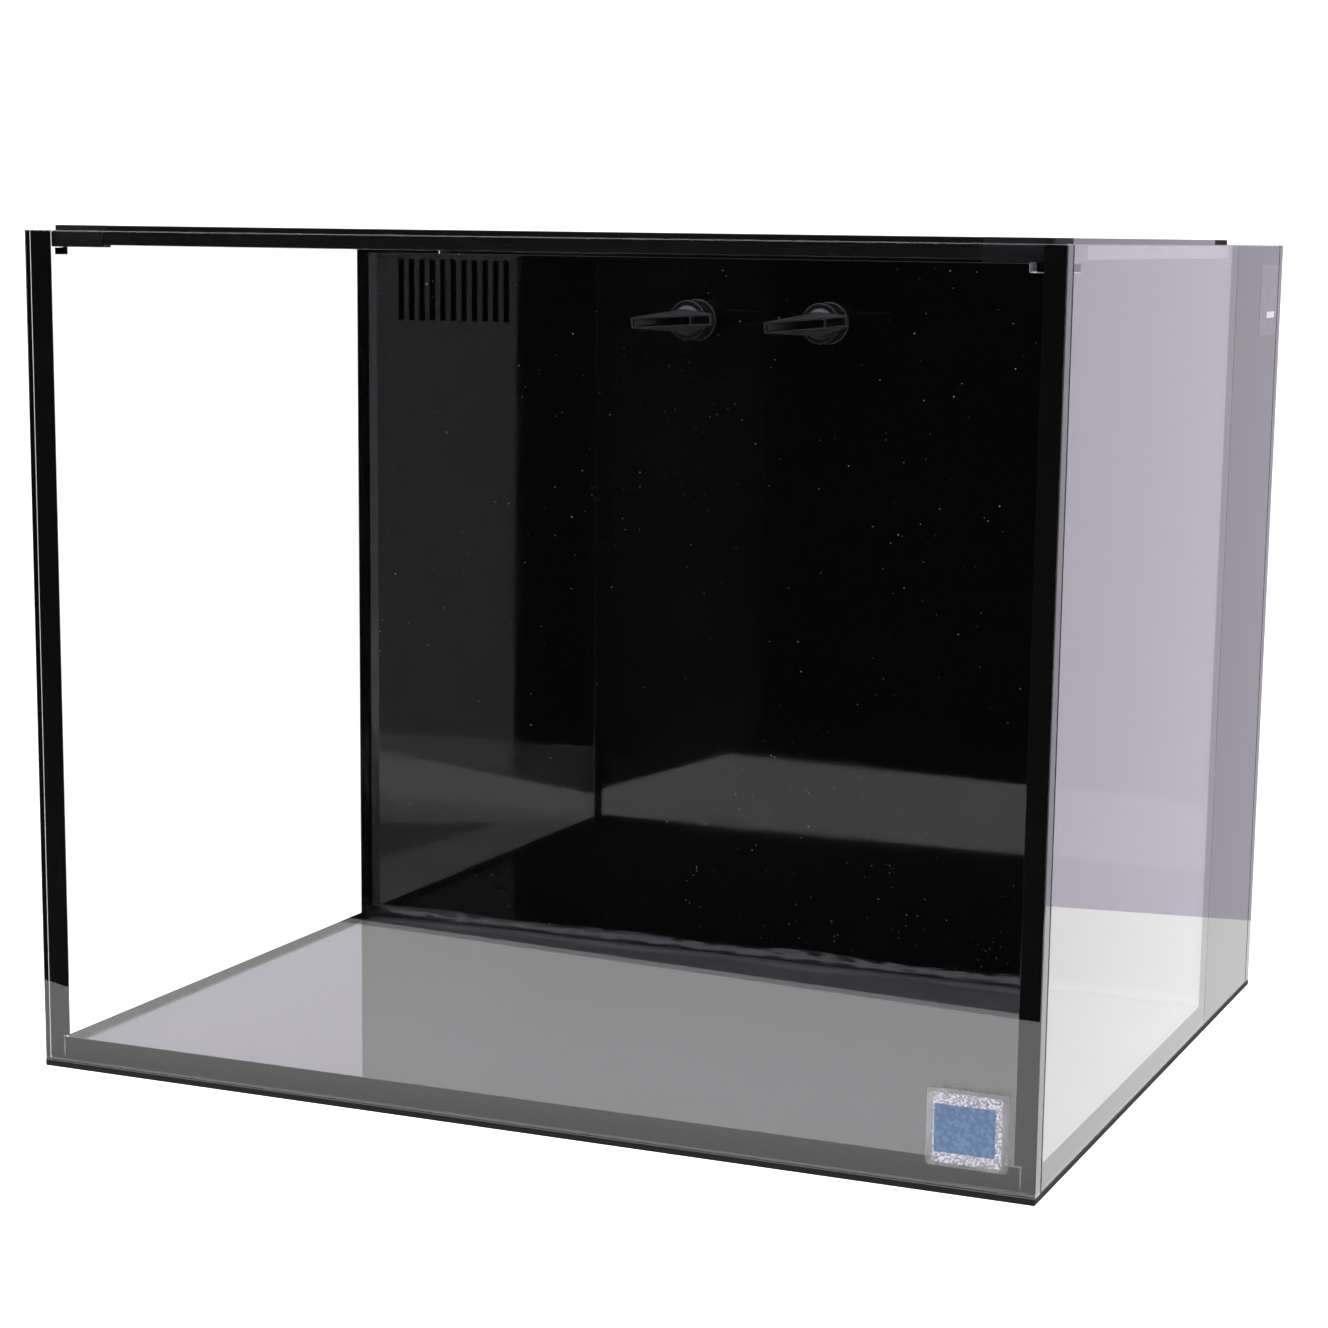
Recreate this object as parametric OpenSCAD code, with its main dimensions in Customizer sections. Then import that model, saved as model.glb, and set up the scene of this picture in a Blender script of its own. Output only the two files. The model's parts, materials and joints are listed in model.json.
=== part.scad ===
// Rimless all-in-one aquarium: glass tank, slotted rear wall, filter chambers,
// two swivelling return nozzles and a lift-off net lid.
// Millimetres. Origin at the middle of the underside, +X to the right, +Y to the back, +Z up.

/* [Tank] */
// Overall width
tank_w = 610; // [500:5:800]
// Overall depth, front to back
tank_d = 508; // [400:4:640]
// Height of the glass rim above the table
tank_h = 490; // [400:5:620]
// Thickness of the four upright panes
glass_t = 10; // [8:0.5:15]
// Thickness of the bottom pane
floor_t = 10; // [8:0.5:15]
// Bevel ground along the edges of the clear panes
arris = 0.6; // [0.3:0.1:1.2]
// Thickness of the leveling mat
mat_t = 4; // [2:0.5:8]
// Thickness of silicone between two bonded faces
bond_t = 1; // [0.5:0.1:2]
// Leg of the silicone bead inside each glass corner
bead_leg = 4; // [2:0.5:6]

/* [Rear wall] */
// Clear depth of the chambers behind the wall
chamber_d = 102; // [100:1:150]
// Thickness of the wall
wall_t = 6; // [4:0.5:10]
// How far the wall stops below the rim
wall_drop = 13; // [10:1:25]
// Number of slots in the weir
slot_n = 11; // [5:1:13]
// Width of a slot
slot_w = 4; // [3:0.1:5.5]
// Distance from slot to slot
slot_pitch = 8; // [7:0.1:9.6]
// Height of a slot
slot_h = 41; // [25:1:50]
// Solid strip above the slots
slot_cap = 4; // [2:0.5:8]
// Solid wall from the left pane to the first slot
slot_margin = 21; // [10:1:30]
// Leg of the bead along the foot of the wall
wall_bead_leg = 5; // [3:0.5:8]

/* [Chambers] */
// Thickness of the dividers
divider_t = 5; // [3:0.5:8]
// Clear width of the intake chamber
intake_w = 139; // [120:1:170]
// Clear width of the media chamber
media_w = 68; // [56:1:90]
// Clear width of the pump chamber
pump_w = 144; // [140:1:190]
// Height of the water passage under a raised divider
underflow_h = 50; // [30:1:80]
// How far the raised dividers stop below the rear wall's top
divider_drop = 17; // [5:1:40]
// How far the overflow divider stops below the rear wall's top
overflow_drop = 77; // [50:1:110]

/* [Filter sock] */
// Outer radius of the felt bag
sock_r = 37; // [30:0.5:40]
// Thickness of the felt
sock_t = 2; // [1:0.5:4]
// Length of the bag
sock_len = 190; // [120:5:240]
// Width of the ring's flange beyond the bag
sock_flange = 9; // [7:0.5:9.5]
// Thickness of the ring
sock_ring_t = 5; // [3:0.5:8]
// Thickness of the bracket plate
bracket_t = 6; // [4:0.5:10]
// Distance from the foot of the slots down to the bracket's top
bracket_drop = 16; // [10:1:40]

/* [Media caddy] */
// Wall thickness of the caddy
caddy_t = 2.5; // [2:0.1:4]
// Gap between the caddy and the chamber on every side
caddy_gap = 3; // [2:0.5:6]
// Depth and height of the ledges that carry the caddy
caddy_ledge = 8; // [6:1:14]
// Height of the caddy's underside above the bottom pane
caddy_lift = 46; // [20:1:60]
// How far the caddy's top stops below the rear wall's top
caddy_drop = 37; // [20:1:60]
// Windows in each side of the caddy, one above the other
window_n = 5; // [2:1:8]
// Bar left between two windows
window_bar = 14; // [8:1:24]
// Frame left beside the windows
window_side = 12; // [8:1:20]
// Height of the foam block
foam_h = 120; // [60:5:150]
// Height of the media fill
media_h = 170; // [100:5:180]

/* [Return pump] */
// Length of the motor block
motor_l = 52; // [45:1:60]
// Depth and height of the motor block
motor_s = 50; // [40:1:60]
// Radius of the pump's impeller housing
volute_r = 24; // [22:0.5:28]
// Length of the impeller housing
volute_l = 18; // [16:1:24]
// Radius of the impeller
impeller_r = 17; // [14:0.5:18]
// Radius of the rotor magnet
rotor_r = 9; // [7:0.5:12]
// Radius of the ceramic shaft
shaft_r = 1.5; // [1:0.25:2.5]
// Height of the rubber feet
foot_h = 6; // [3:0.5:12]
// Radius of the feet
foot_r = 4; // [3:0.5:6]
// Length of the cover over the intake
cover_l = 16; // [12:1:24]
// Radius of the flow dial
dial_r = 15; // [10:0.5:18]

/* [Pipework] */
// Inner radius of the hoses
hose_in_r = 8; // [6:0.5:9]
// Wall thickness of the hoses
hose_t = 2; // [1.5:0.1:3]
// Bend radius of the branch elbows
elbow_r = 16; // [14:1:20]
// Length over which the riser grips the pump's spout
hose_grip = 18; // [10:1:25]
// Length of a barb inside a hose
barb_l = 10; // [6:1:14]

/* [Returns] */
// Distance between the two return nozzles
return_pitch = 92; // [80:1:110]
// Height of the nozzle axes below the rim
return_drop = 53; // [45:1:90]
// Radius of the bulkhead's flange
flange_r = 13.5; // [13:0.5:18]
// Thickness of the flange
flange_t = 3; // [2:0.5:5]
// Radius of the bulkhead's thread
thread_r = 9.5; // [9.5:0.1:11]
// Wall thickness of the spouts
spout_t = 1.5; // [1.2:0.1:2.5]
// Outer radius of the swivel ring
ring_r = 13; // [12.8:0.1:16]
// Radius of the nozzle's ball
ball_r = 11; // [10.6:0.1:11.2]
// Distance from the rear wall to the middle of the ball
ball_reach = 14; // [13.6:0.1:16]
// Distance from the rear wall to the nozzle's mouth
nozzle_reach = 45; // [38:1:60]
// Width of the mouth
mouth_w = 56; // [40:1:62]
// Height of the mouth
mouth_h = 7.2; // [6.6:0.1:10]
// Wall thickness of the nozzle
nozzle_t = 1.3; // [1:0.1:1.4]
// Width of the rim around the mouth
mouth_rim = 3; // [2:0.5:5]
// How far the left nozzle is turned on its axis
left_roll = 3.6; // [-20:0.1:20]
// How far the right nozzle is turned on its axis
right_roll = 5.7; // [-20:0.1:20]

/* [Lid] */
// Width of a lid rail
rail_w = 9; // [8:0.5:14]
// Height of a lid rail
rail_h = 11; // [9:0.5:14]
// Gap between the lid and the side panes
lid_side_gap = 1; // [0.8:0.1:3]
// Gap between the lid and the front pane
lid_front_gap = 2; // [1.5:0.1:4]
// How far the lid reaches past the back of the rear wall
lid_overhang = 2; // [0:0.5:2.5]
// Height of the lid's top above the rim
lid_proud = 3; // [0:0.5:3]
// Length of a corner connector's leg
corner_l = 36; // [20:1:60]
// How far the corner connectors hang below the rails
corner_drop = 1.2; // [0:0.1:2]
// Rounding of the lid's corners
corner_r = 4; // [3.5:0.5:9]
// Width of the groove for the spline
groove_w = 3; // [2:0.1:4]
// Depth of the groove
groove_d = 4; // [3:0.1:5]
// Thickness of the net
net_t = 0.8; // [0.5:0.1:1.2]
// Width of a lid rest
rest_w = 14; // [8:1:24]
// Thickness of a lid rest
rest_t = 5; // [3:0.5:6]

/* [Films and labels] */
// Thickness of films and labels
film_t = 0.2; // [0.1:0.05:0.4]
// How far the side films reach in front of the rear wall
film_lead = 13; // [5:1:30]
// Width and height of the front label
front_label = [45, 42];
// Gap from the front label to the right edge and to the bottom edge of the glass
front_label_gap = [15, 11];
// Width and height of the side label
side_label = [50, 44];
// Gap from the side label to the back edge and to the rim
side_label_gap = [13, 12];

/* [Hidden] */
$fn = 64;
eps = 0.01;
// Clearances: a turning fit, a moving gap, and a push fit between rigid pieces
run_fit = 0.05;
move_gap = 0.3;
push_fit = 0.1;

// Inner faces of the tank
in_x = tank_w / 2 - glass_t;
in_y = tank_d / 2 - glass_t;
floor_z = mat_t + floor_t;
glass_h = tank_h - mat_t;

// Rear wall
wall_back = in_y - chamber_d;
wall_y = wall_back - wall_t;
wall_top = tank_h - wall_drop;
slot_z = wall_top - slot_cap - slot_h;

// Chambers, from left to right
intake_x = -in_x;
divider_1x = intake_x + intake_w;
media_x = divider_1x + divider_t;
divider_2x = media_x + media_w;
pump_x = divider_2x + divider_t;
divider_3x = pump_x + pump_w;
chamber_y = (wall_back + in_y) / 2;

// Filter sock
sock_cx = -in_x + intake_w / 2;
bracket_top = slot_z - bracket_drop;

// Media caddy
caddy_x = media_x + caddy_gap;
caddy_w = media_w - 2 * caddy_gap;
caddy_y = wall_back + caddy_gap;
caddy_d = chamber_d - 2 * caddy_gap;
caddy_z = floor_z + caddy_lift;
caddy_h = wall_top - caddy_drop - caddy_z;
caddy_in_w = caddy_w - 2 * caddy_t;
caddy_in_d = caddy_d - 2 * caddy_t;
window_h = (caddy_h - (window_n + 1) * window_bar) / window_n;

// Pump: the impeller's axis runs along X, and the spout stands over the impeller
return_x = pump_x + pump_w / 2;
pump_axis_z = floor_z + foot_h + motor_s / 2;
volute_x = return_x - volute_l / 2;
motor_x = volute_x - motor_l;
cover_x = volute_x + volute_l;
chamber_wall = 2;
motor_bevel = 5;
impeller_x = volute_x + chamber_wall + 1;
impeller_l = volute_l - chamber_wall - 3;
rotor_l = motor_l - 8;
shaft_seat = 3;
hub_r = rotor_r - 2;
disc_t = 2;
vane_t = 1.6;
cover_t = 3;
cover_wall = 2.5;
bearing_r = 4;
port_w = 3.2;
port_in = 6;
spout_top = pump_axis_z + volute_r + hose_grip + 4;
pin_r = 3;
dial_t = 3;

// Returns
return_z = tank_h - return_drop;
left_x = return_x - return_pitch / 2;
right_x = return_x + return_pitch / 2;
hose_r = hose_in_r + hose_t;
spigot_l = 2.5;
spigot_r = 9;
neck_r = 7.5;
neck_bore_r = 6;
neck_len = 9;
ring_front = ball_reach + 4.5;
ball_back = 5;
gasket_t = 2;
nut_t = 8;
nut_r = 16;
tail_y = chamber_y - elbow_r;
thread_end = wall_back + gasket_t + nut_t + 2;

// Lid
lid_x = in_x - lid_side_gap;
lid_front = -in_y + lid_front_gap;
lid_back = wall_back + lid_overhang;
lid_top = tank_h + lid_proud;
lid_z = lid_top - rail_h;
groove_in = (rail_w - groove_w) / 2;
tenon = [rail_w - 4, rail_h - groove_d - 2, 12];

// ---- Shapes that repeat ----

// Rectangle with its corners bevelled
module bevel_square(size, bevel) {
    polygon([
        [bevel, 0], [size.x - bevel, 0], [size.x, bevel], [size.x, size.y - bevel],
        [size.x - bevel, size.y], [bevel, size.y], [0, size.y - bevel], [0, bevel]
    ]);
}

// Pane of glass facing Y, from its lowest corner, with ground edges
module pane_facing_y(size) {
    intersection() {
        linear_extrude(size.z) bevel_square([size.x, size.y], arris);
        rotate([90, 0, 90]) linear_extrude(size.x) bevel_square([size.y, size.z], arris);
    }
}

// Pane of glass facing X
module pane_facing_x(size) {
    intersection() {
        linear_extrude(size.z) bevel_square([size.x, size.y], arris);
        translate([0, size.y, 0])
            rotate([90, 0, 0]) linear_extrude(size.y) bevel_square([size.x, size.z], arris);
    }
}

// Upright seam of one corner: the bond under a side pane's edge and the bead inside it, for the
// corner at +X and -Y
module corner_seam() {
    translate([in_x, -in_y, mat_t]) cube([glass_t, bond_t, glass_h]);
    translate([0, 0, floor_z + bead_leg])
        linear_extrude(tank_h - floor_z - bead_leg)
            polygon([
                [in_x, -in_y], [in_x, -in_y + bond_t + bead_leg], [in_x - bead_leg, -in_y]
            ]);
}

// Seam along the floor at +Y, length along X
module floor_seam(length, inset) {
    translate([-length / 2, inset - bond_t, mat_t]) cube([length, bond_t, floor_t]);
    translate([-length / 2, 0, 0])
        rotate([90, 0, 90]) linear_extrude(length)
            polygon([[inset, floor_z], [inset, floor_z + bead_leg], [inset - bead_leg, floor_z]]);
}

// Turns a shape drawn up +Z so that it points forward from the rear wall, at one return
module at_return(x) {
    translate([x, wall_y, return_z]) rotate([90, 0, 0]) children();
}

// Tube up +Z
module tube(outer_r, inner_r, length) {
    difference() {
        cylinder(r = outer_r, h = length);
        translate([0, 0, -eps]) cylinder(r = inner_r, h = length + 2 * eps);
    }
}

// ---- Tank ----

module leveling_mat() {
    color("#151515") translate([-tank_w / 2, -tank_d / 2, 0]) cube([tank_w, tank_d, mat_t]);
}

module bottom_pane() {
    color("#c8dcd8", 0.4)
        translate([-in_x + bond_t, -in_y + bond_t, mat_t])
            cube([2 * (in_x - bond_t), 2 * (in_y - bond_t), floor_t]);
}

module front_pane() {
    color("#c8dcd8", 0.3)
        translate([-tank_w / 2, -tank_d / 2, mat_t]) pane_facing_y([tank_w, glass_t, glass_h]);
}

module side_pane() {
    color("#c8dcd8", 0.3)
        translate([in_x, -in_y + bond_t, mat_t])
            pane_facing_x([glass_t, 2 * (in_y - bond_t), glass_h]);
}

module left_pane() {
    mirror([1, 0, 0]) side_pane();
}

module right_pane() {
    side_pane();
}

module back_pane() {
    color("#101012") translate([-tank_w / 2, in_y, mat_t]) pane_facing_y([tank_w, glass_t, glass_h]);
}

module corner_seams_front() {
    color("#0c0c0c") {
        corner_seam();
        mirror([1, 0, 0]) corner_seam();
    }
}

module corner_seams_back() {
    color("#0c0c0c") mirror([0, 1, 0]) {
        corner_seam();
        mirror([1, 0, 0]) corner_seam();
    }
}

module floor_seam_front() {
    color("#0c0c0c") mirror([0, 1, 0]) floor_seam(2 * in_x, in_y);
}

module floor_seam_back() {
    color("#0c0c0c") floor_seam(2 * in_x, in_y);
}

// The side seams stop at the front and back beads, and the rear wall stands on them
module floor_seams_side() {
    color("#0c0c0c")
        difference() {
            for (turn = [-90, 90])
                rotate([0, 0, turn]) floor_seam(2 * (in_y - bond_t), in_x);
            for (end = [-1, 1])
                translate([0, end * in_y, floor_z + bead_leg])
                    cube([tank_w, 2 * bead_leg, 2 * bead_leg], center = true);
            translate([0, wall_y + wall_t / 2, floor_z + bead_leg])
                cube([tank_w, wall_t + 2 * wall_bead_leg, 2 * bead_leg], center = true);
        }
}

// ---- Rear wall ----

module rear_wall() {
    color("#060606")
        difference() {
            translate([-in_x + bond_t, wall_y, floor_z + bond_t])
                cube([2 * (in_x - bond_t), wall_t, wall_top - floor_z - bond_t]);
            for (i = [0 : slot_n - 1])
                translate([-in_x + slot_margin + i * slot_pitch, wall_y - eps, slot_z])
                    cube([slot_w, wall_t + 2 * eps, slot_h]);
            for (x = [left_x, right_x])
                translate([x, wall_back + eps, return_z])
                    rotate([90, 0, 0]) cylinder(r = thread_r + move_gap, h = wall_t + 2 * eps);
        }
}

// Bond and bead along the foot of the wall
module rear_wall_bead() {
    color("#0c0c0c")
        translate([-in_x, 0, 0])
            rotate([90, 0, 90]) linear_extrude(2 * in_x)
                polygon([
                    [wall_y - wall_bead_leg, floor_z], [wall_back, floor_z],
                    [wall_back, floor_z + bond_t], [wall_y, floor_z + bond_t],
                    [wall_y, floor_z + wall_bead_leg]
                ]);
}

// Upright bonds at both ends of the wall, each with a bead in front that stops above the foot's bead
module rear_wall_seams() {
    foot_y = wall_y - 2 * wall_bead_leg;
    color("#0c0c0c")
        for (side = [0, 1]) mirror([side, 0, 0])
            difference() {
                translate([0, 0, floor_z + bond_t]) linear_extrude(wall_top - floor_z - bond_t)
                    polygon([
                        [in_x, wall_y - bead_leg], [in_x, wall_back], [in_x - bond_t, wall_back],
                        [in_x - bond_t, wall_y], [in_x - bead_leg, wall_y]
                    ]);
                translate([0, foot_y, 0])
                    cube([tank_w, wall_y + push_fit - foot_y, floor_z + wall_bead_leg]);
            }
}

// ---- Chamber dividers ----

// Plate between the rear wall and the back pane, from one height to another
module divider(x, low, high) {
    color("#0a0a0a") translate([x, wall_back, low]) cube([divider_t, chamber_d, high - low]);
}

module divider_intake() {
    divider(divider_1x, floor_z + underflow_h, wall_top - divider_drop);
}

module divider_overflow() {
    divider(divider_2x, floor_z + bead_leg, wall_top - overflow_drop);
}

module divider_pump() {
    divider(divider_3x, floor_z + underflow_h, wall_top - divider_drop);
}

// ---- Films, labels and lid rests ----

module side_film() {
    film_y = wall_y - film_lead;
    color("#0a0a0a")
        translate([tank_w / 2, film_y, mat_t + arris])
            cube([film_t, in_y - bond_t - arris - film_y, glass_h - 2 * arris]);
}

module side_film_left() {
    mirror([1, 0, 0]) side_film();
}

module side_film_right() {
    side_film();
}

// Clear blocks under the lid's corners: two on the side panes, two on top of the rear wall
module lid_rests() {
    rest_z = lid_z - corner_drop;
    color("#e4eef0", 0.5)
        for (side = [0, 1]) mirror([side, 0, 0]) {
            translate([in_x - rest_w, -in_y + 2 * bead_leg + bond_t, rest_z - rest_t])
                cube([rest_w, rest_w, rest_t]);
            translate([in_x - bond_t - 2 * rest_w, wall_y, wall_top])
                cube([rest_w, wall_t, rest_z - wall_top]);
        }
}

module front_label() {
    color("#9db4c4")
        translate([
            tank_w / 2 - front_label_gap.x - front_label.x, -tank_d / 2 - film_t,
            mat_t + front_label_gap.y
        ])
            cube([front_label.x, film_t, front_label.y]);
}

module side_label() {
    color("#b8b4bc")
        translate([
            tank_w / 2 + film_t, tank_d / 2 - side_label_gap.x - side_label.x,
            tank_h - side_label_gap.y - side_label.y
        ])
            cube([film_t, side_label.x, side_label.y]);
}

// ---- Filter sock ----

module sock_bracket() {
    color("#101010")
        difference() {
            translate([intake_x, wall_back, bracket_top - bracket_t])
                cube([intake_w, chamber_d - bond_t - bead_leg, bracket_t]);
            translate([sock_cx, chamber_y, bracket_top - bracket_t - eps])
                cylinder(r = sock_r + 1, h = bracket_t + 2 * eps);
        }
}

module sock_ring() {
    color("#e8e8e4")
        translate([sock_cx, chamber_y, bracket_top]) tube(sock_r + sock_flange, sock_r, sock_ring_t);
}

module filter_sock() {
    sock_top = bracket_top + sock_ring_t;
    color("#f2f0ea")
        translate([sock_cx, chamber_y, sock_top - sock_len])
            difference() {
                cylinder(r = sock_r, h = sock_len);
                translate([0, 0, sock_t]) cylinder(r = sock_r - sock_t, h = sock_len);
            }
}

// ---- Media caddy ----

module media_caddy() {
    color("#1c1c1e")
        difference() {
            translate([caddy_x, caddy_y, caddy_z]) cube([caddy_w, caddy_d, caddy_h]);
            translate([caddy_x + caddy_t, caddy_y + caddy_t, caddy_z + caddy_t])
                cube([caddy_in_w, caddy_in_d, caddy_h]);
            for (i = [0 : window_n - 1]) {
                window_z = caddy_z + window_bar + i * (window_h + window_bar);
                translate([caddy_x - eps, caddy_y + window_side, window_z])
                    cube([caddy_w + 2 * eps, caddy_d - 2 * window_side, window_h]);
                translate([caddy_x + window_side, caddy_y - eps, window_z])
                    cube([caddy_w - 2 * window_side, caddy_d + 2 * eps, window_h]);
            }
            for (x = [1 : 3], y = [1 : 5])
                translate([
                    caddy_x + x * caddy_w / 4, caddy_y + y * caddy_d / 6, caddy_z - eps
                ])
                    cylinder(r = 4, h = caddy_t + 2 * eps);
        }
}

// Bars on both dividers that the caddy stands on
module caddy_ledges() {
    color("#0a0a0a")
        for (x = [media_x, divider_2x - caddy_ledge])
            translate([x, wall_back, caddy_z - caddy_ledge]) cube([caddy_ledge, chamber_d, caddy_ledge]);
}

// Block that fills the caddy from one height
module caddy_fill(low, height) {
    translate([caddy_x + caddy_t, caddy_y + caddy_t, low]) cube([caddy_in_w, caddy_in_d, height]);
}

module ceramic_media() {
    color("#d9cdb8") caddy_fill(caddy_z + caddy_t, min(media_h, caddy_h / 2));
}

module foam_block() {
    color("#20242c")
        caddy_fill(caddy_z + caddy_t + min(media_h, caddy_h / 2), min(foam_h, caddy_h / 3));
}

// ---- Return pump ----

// Turns a shape drawn up +Z so that it lies along +X on the pump's axis
module on_pump_axis(x) {
    translate([x, chamber_y, pump_axis_z]) rotate([0, 90, 0]) children();
}

module pump_housing() {
    color("#18191c")
        difference() {
            union() {
                translate([motor_x, chamber_y - motor_s / 2, pump_axis_z - motor_s / 2])
                    rotate([90, 0, 90]) linear_extrude(motor_l)
                        bevel_square([motor_s, motor_s], motor_bevel);
                on_pump_axis(volute_x - 1) cylinder(r = volute_r, h = volute_l + 1);
                translate([return_x, chamber_y, pump_axis_z])
                    cylinder(r = hose_in_r, h = spout_top - pump_axis_z);
            }
            on_pump_axis(volute_x + chamber_wall)
                cylinder(r = impeller_r + 2, h = volute_l);
            on_pump_axis(volute_x - rotor_l)
                cylinder(r = rotor_r + move_gap, h = rotor_l + volute_l);
            on_pump_axis(volute_x - rotor_l - shaft_seat)
                cylinder(r = shaft_r, h = shaft_seat + 1);
            translate([return_x, chamber_y, pump_axis_z])
                cylinder(r = hose_in_r - spout_t, h = spout_top);
        }
}

module impeller() {
    color("#d8d8d0")
        difference() {
            union() {
                on_pump_axis(volute_x - rotor_l + 1) cylinder(r = rotor_r, h = rotor_l + 3);
                on_pump_axis(impeller_x) cylinder(r = impeller_r, h = disc_t);
                for (i = [0 : 5])
                    on_pump_axis(impeller_x) rotate([0, 0, i * 60])
                        translate([hub_r - 1, -vane_t / 2, 0])
                            cube([impeller_r - hub_r, vane_t, impeller_l]);
                on_pump_axis(impeller_x) cylinder(r = hub_r, h = impeller_l);
            }
            on_pump_axis(volute_x - rotor_l)
                cylinder(r = shaft_r + run_fit, h = rotor_l + volute_l + 1);
        }
}

module impeller_shaft() {
    color("#f4f4f0")
        on_pump_axis(volute_x - rotor_l - shaft_seat)
            cylinder(r = shaft_r, h = rotor_l + shaft_seat + volute_l + shaft_seat);
}

module pump_cover() {
    bar_w = 2;
    port_l = 8;
    side_port_w = 4;
    color("#202124")
        difference() {
            union() {
                on_pump_axis(cover_x) tube(volute_r, volute_r - cover_wall, cover_l);
                on_pump_axis(cover_x + cover_l - cover_t) cylinder(r = volute_r, h = cover_t);
                on_pump_axis(cover_x) cylinder(r = bearing_r, h = cover_l);
                for (i = [0 : 2])
                    on_pump_axis(cover_x) rotate([0, 0, i * 60])
                        translate([1 - volute_r, -bar_w / 2, 0]) cube([2 * (volute_r - 1), bar_w, cover_t]);
                on_pump_axis(cover_x + cover_l) cylinder(r = pin_r, h = dial_t + 1);
            }
            on_pump_axis(cover_x - eps) cylinder(r = shaft_r, h = shaft_seat + eps);
            for (i = [0 : 5])
                on_pump_axis(cover_x + cover_l - cover_t - eps) rotate([0, 0, i * 60])
                    translate([port_in, -port_w / 2, 0]) cube([port_l, port_w, cover_t + 2 * eps]);
            for (i = [0 : 11])
                on_pump_axis(cover_x + cover_t + 1) rotate([0, 0, i * 30 + 15])
                    translate([volute_r - 4, -side_port_w / 2, 0])
                        cube([6, side_port_w, cover_l - 2 * cover_t - 3]);
        }
}

module flow_dial() {
    lever = [5, 4, dial_t - move_gap];
    port_l = 6.5;
    color("#3a3c40")
        difference() {
            on_pump_axis(cover_x + cover_l + move_gap) {
                cylinder(r = dial_r, h = lever.z);
                translate([2 - dial_r - lever.x, -lever.y / 2, 0]) cube(lever);
            }
            on_pump_axis(cover_x + cover_l) cylinder(r = pin_r + run_fit, h = dial_t + 1);
            for (i = [0 : 5])
                on_pump_axis(cover_x + cover_l) rotate([0, 0, i * 60])
                    translate([port_in, -port_w / 2, 0]) cube([port_l, port_w, dial_t + 1]);
        }
}

module pump_feet() {
    foot_inset = foot_r + 5;
    color("#101010")
        for (x = [motor_x + foot_inset, motor_x + motor_l - foot_inset], side = [-1, 1])
            translate([x, chamber_y + side * (motor_s / 2 - foot_inset), floor_z])
                cylinder(r = foot_r, h = foot_h);
}

module cable_gland() {
    gland_r = 6;
    base_h = 5;
    collar_r = 4.5;
    collar_h = 8;
    bore_r = 3;
    color("#101010")
        translate([motor_x + 2 * gland_r, chamber_y, pump_axis_z + motor_s / 2])
            difference() {
                union() {
                    cylinder(r = gland_r, h = base_h);
                    cylinder(r = collar_r, h = base_h + collar_h);
                }
                translate([0, 0, 1]) cylinder(r = bore_r, h = base_h + collar_h);
            }
}

// ---- Pipework ----

module riser_hose() {
    hose_low = spout_top - hose_grip;
    color("#d6dadc", 0.6)
        translate([return_x, chamber_y, hose_low])
            tube(hose_r, hose_in_r, return_z - elbow_r - hose_low);
}

// Tee with three barbs: one down into the riser and one out into each elbow
module tee_fitting() {
    arm = return_pitch / 2 - elbow_r;
    color("#101012")
        translate([return_x, chamber_y, return_z])
            difference() {
                union() {
                    translate([-arm, 0, 0]) rotate([0, 90, 0]) cylinder(r = hose_in_r, h = 2 * arm);
                    translate([barb_l - arm, 0, 0])
                        rotate([0, 90, 0]) cylinder(r = hose_r, h = 2 * (arm - barb_l));
                    translate([0, 0, -elbow_r]) cylinder(r = hose_r, h = elbow_r);
                    translate([0, 0, -elbow_r - barb_l]) cylinder(r = hose_in_r, h = elbow_r + barb_l);
                }
                translate([-arm - 1, 0, 0])
                    rotate([0, 90, 0]) cylinder(r = hose_in_r - spout_t, h = 2 * (arm + 1));
                translate([0, 0, -elbow_r - barb_l - 1])
                    cylinder(r = hose_in_r - spout_t, h = elbow_r + barb_l + 1);
            }
}

// Hose from the tee's right barb round a quarter bend to the right bulkhead's barb
module elbow() {
    color("#d6dadc", 0.6)
        translate([return_x + return_pitch / 2 - elbow_r, tail_y, return_z]) {
            rotate_extrude(angle = 90)
                translate([elbow_r, 0])
                    difference() {
                        circle(r = hose_r);
                        circle(r = hose_in_r);
                    }
            translate([-barb_l, elbow_r, 0]) rotate([0, 90, 0]) tube(hose_r, hose_in_r, barb_l);
            translate([elbow_r, 0, 0])
                rotate([90, 0, 0]) tube(hose_r, hose_in_r, tail_y - thread_end);
        }
}

module elbow_left() {
    translate([return_x, 0, 0]) mirror([1, 0, 0]) translate([-return_x, 0, 0]) elbow();
}

module elbow_right() {
    elbow();
}

// ---- Returns ----

// Hollow fitting through the rear wall: flange and spigot in front, thread and barb behind
module bulkhead(x) {
    thread_l = thread_end - wall_y;
    tail_l = tail_y - wall_y;
    color("#0e0e10")
        difference() {
            union() {
                at_return(x) cylinder(r = flange_r, h = flange_t);
                at_return(x) cylinder(r = spigot_r, h = flange_t + spigot_l);
                at_return(x) translate([0, 0, -thread_l]) cylinder(r = thread_r, h = thread_l + 1);
                at_return(x) translate([0, 0, -tail_l]) cylinder(r = hose_in_r, h = tail_l);
            }
            at_return(x) translate([0, 0, -tail_l - 1])
                cylinder(r = hose_in_r - spout_t, h = tail_l + flange_t + spigot_l + 2);
        }
}

module bulkhead_left() {
    bulkhead(left_x);
}

module bulkhead_right() {
    bulkhead(right_x);
}

module gaskets() {
    color("#1a1a1a")
        for (x = [left_x, right_x])
            at_return(x) translate([0, 0, -wall_t - gasket_t])
                tube(nut_r - 2, thread_r + push_fit, gasket_t);
}

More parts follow.
